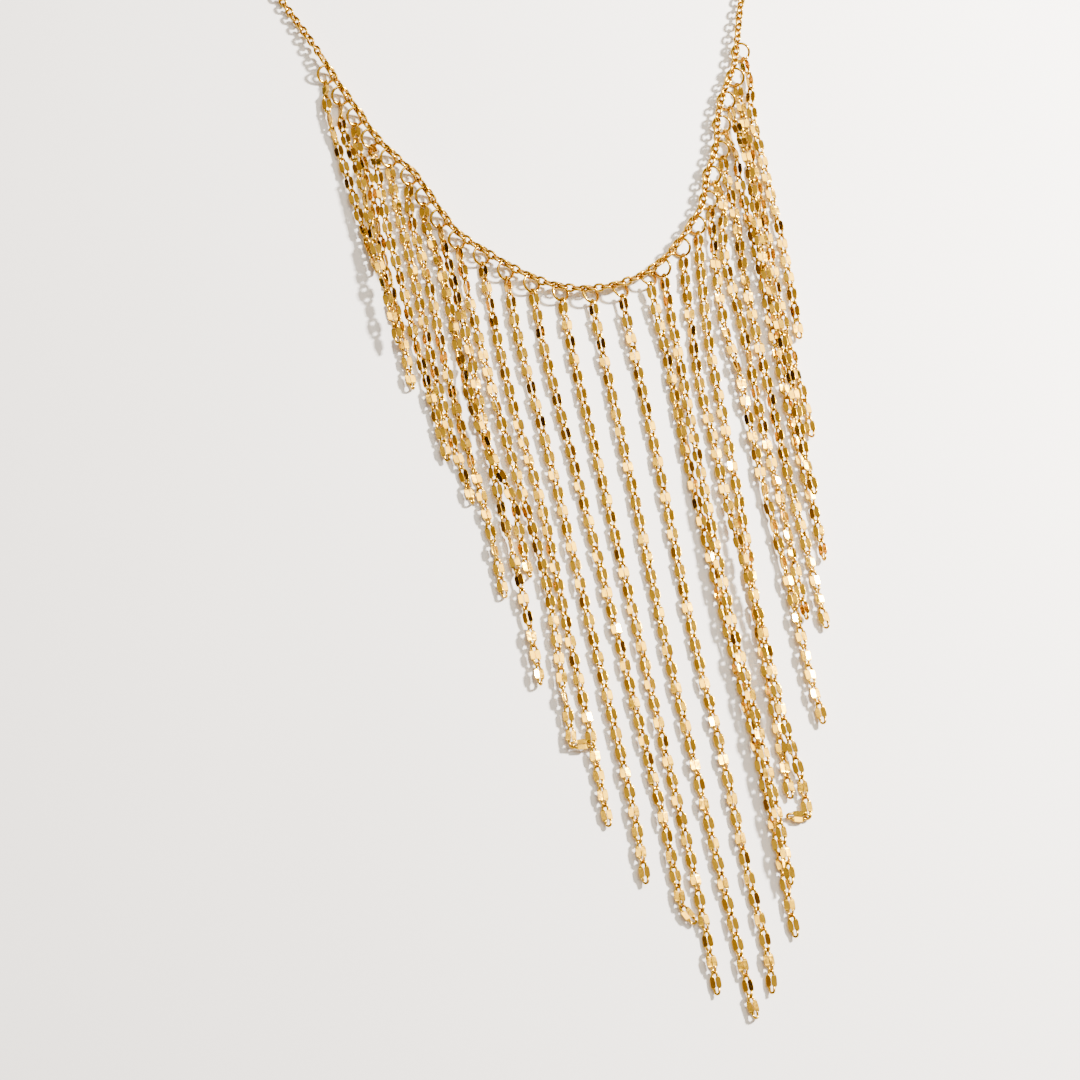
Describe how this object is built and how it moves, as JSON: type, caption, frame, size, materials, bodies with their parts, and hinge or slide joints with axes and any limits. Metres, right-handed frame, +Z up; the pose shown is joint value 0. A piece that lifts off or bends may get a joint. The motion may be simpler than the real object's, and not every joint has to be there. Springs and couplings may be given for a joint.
{
  "type": "tassel necklace",
  "caption": "Short chain necklace with a long V-shaped fringe of flat lip chain strands on jump rings, worn round the neck and closed by a clasp.",
  "frame": {"origin": "middle of the bounding box at the surface that the necklace lies on", "axes": "+X to the right, +Y along the surface from the fringe's tips towards the clasp, +Z up out of the surface"},
  "size_m": [0.1172, 0.287, 0.0036],
  "materials": {
    "cable_gold": "polished gold plate on fine drawn wire",
    "ring_gold": "polished gold plate on round wire",
    "lip_gold": "mirror-polished gold plate on pressed petals",
    "clasp_gold": "polished gold plate"
  },
  "bodies": {
    "root": {"carrier_chain": "cable_gold", "neck_chain_left": "cable_gold", "neck_chain_right": "cable_gold", "strand_rings": "ring_gold", "clasp_ring": "ring_gold", "clasp": "clasp_gold", "strand_left_13": "lip_gold", "strand_left_12": "lip_gold", "strand_left_11": "lip_gold", "strand_left_10": "lip_gold", "strand_left_09": "lip_gold", "strand_left_08": "lip_gold", "strand_left_07": "lip_gold", "strand_left_06": "lip_gold", "strand_left_05": "lip_gold", "strand_left_04": "lip_gold", "strand_left_03": "lip_gold", "strand_left_02": "lip_gold", "strand_left_01": "lip_gold", "strand_middle": "lip_gold", "strand_right_01": "lip_gold", "strand_right_02": "lip_gold", "strand_right_03": "lip_gold", "strand_right_04": "lip_gold", "strand_right_05": "lip_gold", "strand_right_06": "lip_gold", "strand_right_07": "lip_gold", "strand_right_08": "lip_gold", "strand_right_09": "lip_gold", "strand_right_10": "lip_gold", "strand_right_11": "lip_gold", "strand_right_12": "lip_gold"}
  },
  "joints": []
}
